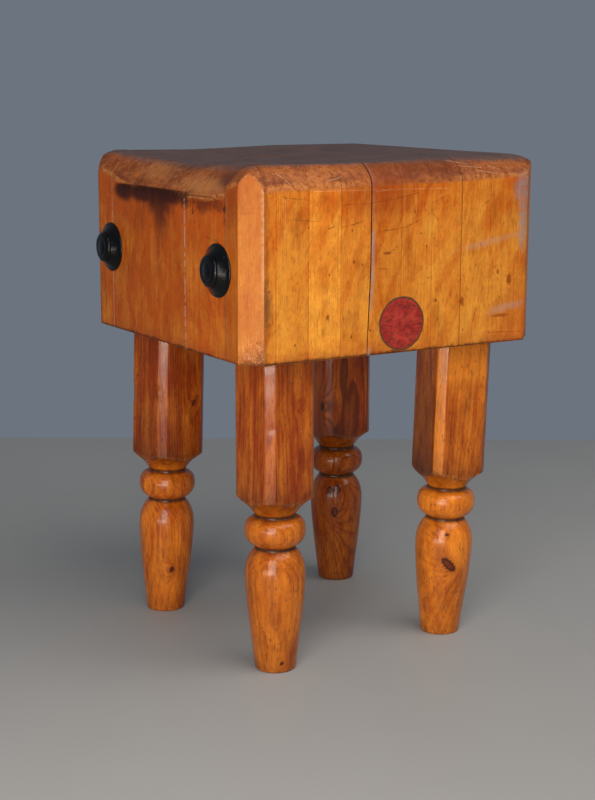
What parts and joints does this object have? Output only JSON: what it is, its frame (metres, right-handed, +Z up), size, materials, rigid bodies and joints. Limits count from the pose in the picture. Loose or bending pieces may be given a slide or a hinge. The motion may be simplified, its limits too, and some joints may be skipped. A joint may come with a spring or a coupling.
{
  "type": "butcher block table",
  "caption": "Old butcher block table: a thick end-grain chopping block of upright staves, drawn up by tie rods, on turned legs.",
  "frame": {"origin": "on the floor, under the middle of the block", "axes": "+Z up, +X to the right along the tie rods, -Y towards the front face with the round label"},
  "size_m": [0.657, 0.5954, 0.901],
  "materials": {
    "block_wood": "worn varnish over upright hard maple, satin",
    "leg_wood": "glossy orange-brown varnish over turned hardwood",
    "black_iron": "gloss black paint on cast iron, chipped",
    "steel": "plain bright steel, dulled",
    "label_paper": "varnished red paper with a dark border, no lettering"
  },
  "bodies": {
    "root": {"stave_1a": "block_wood", "stave_1b": "block_wood", "stave_1c": "block_wood", "stave_1d": "block_wood", "stave_1e": "block_wood", "stave_2a": "block_wood", "stave_2b": "block_wood", "stave_2c": "block_wood", "stave_2d": "block_wood", "stave_3a": "block_wood", "stave_3b": "block_wood", "stave_3c": "block_wood", "stave_3d": "block_wood", "stave_4a": "block_wood", "stave_4b": "block_wood", "stave_4c": "block_wood", "stave_4d": "block_wood", "stave_5a": "block_wood", "stave_5b": "block_wood", "stave_5c": "block_wood", "stave_5d": "block_wood", "stave_6a": "block_wood", "stave_6b": "block_wood", "stave_6c": "block_wood", "stave_6d": "block_wood", "stave_7a": "block_wood", "stave_7b": "block_wood", "stave_7c": "block_wood", "stave_7d": "block_wood", "stave_8a": "block_wood", "stave_8b": "block_wood", "stave_8c": "block_wood", "stave_8d": "block_wood", "stave_9a": "block_wood", "stave_9b": "block_wood", "stave_9c": "block_wood", "stave_9d": "block_wood", "stave_10a": "block_wood", "stave_10b": "block_wood", "stave_10c": "block_wood", "stave_10d": "block_wood", "leg_front_left": "leg_wood", "leg_back_left": "leg_wood", "leg_front_right": "leg_wood", "leg_back_right": "leg_wood", "tie_rod_front": "steel", "tie_rod_back": "steel", "bell_washer_left_front": "black_iron", "bell_washer_left_back": "black_iron", "bell_washer_right_front": "black_iron", "bell_washer_right_back": "black_iron", "cap_nut_left_front": "black_iron", "cap_nut_left_back": "black_iron", "cap_nut_right_front": "black_iron", "cap_nut_right_back": "black_iron", "hanger_bolts": "steel", "threaded_inserts": "steel", "round_label": "label_paper"}
  },
  "joints": []
}
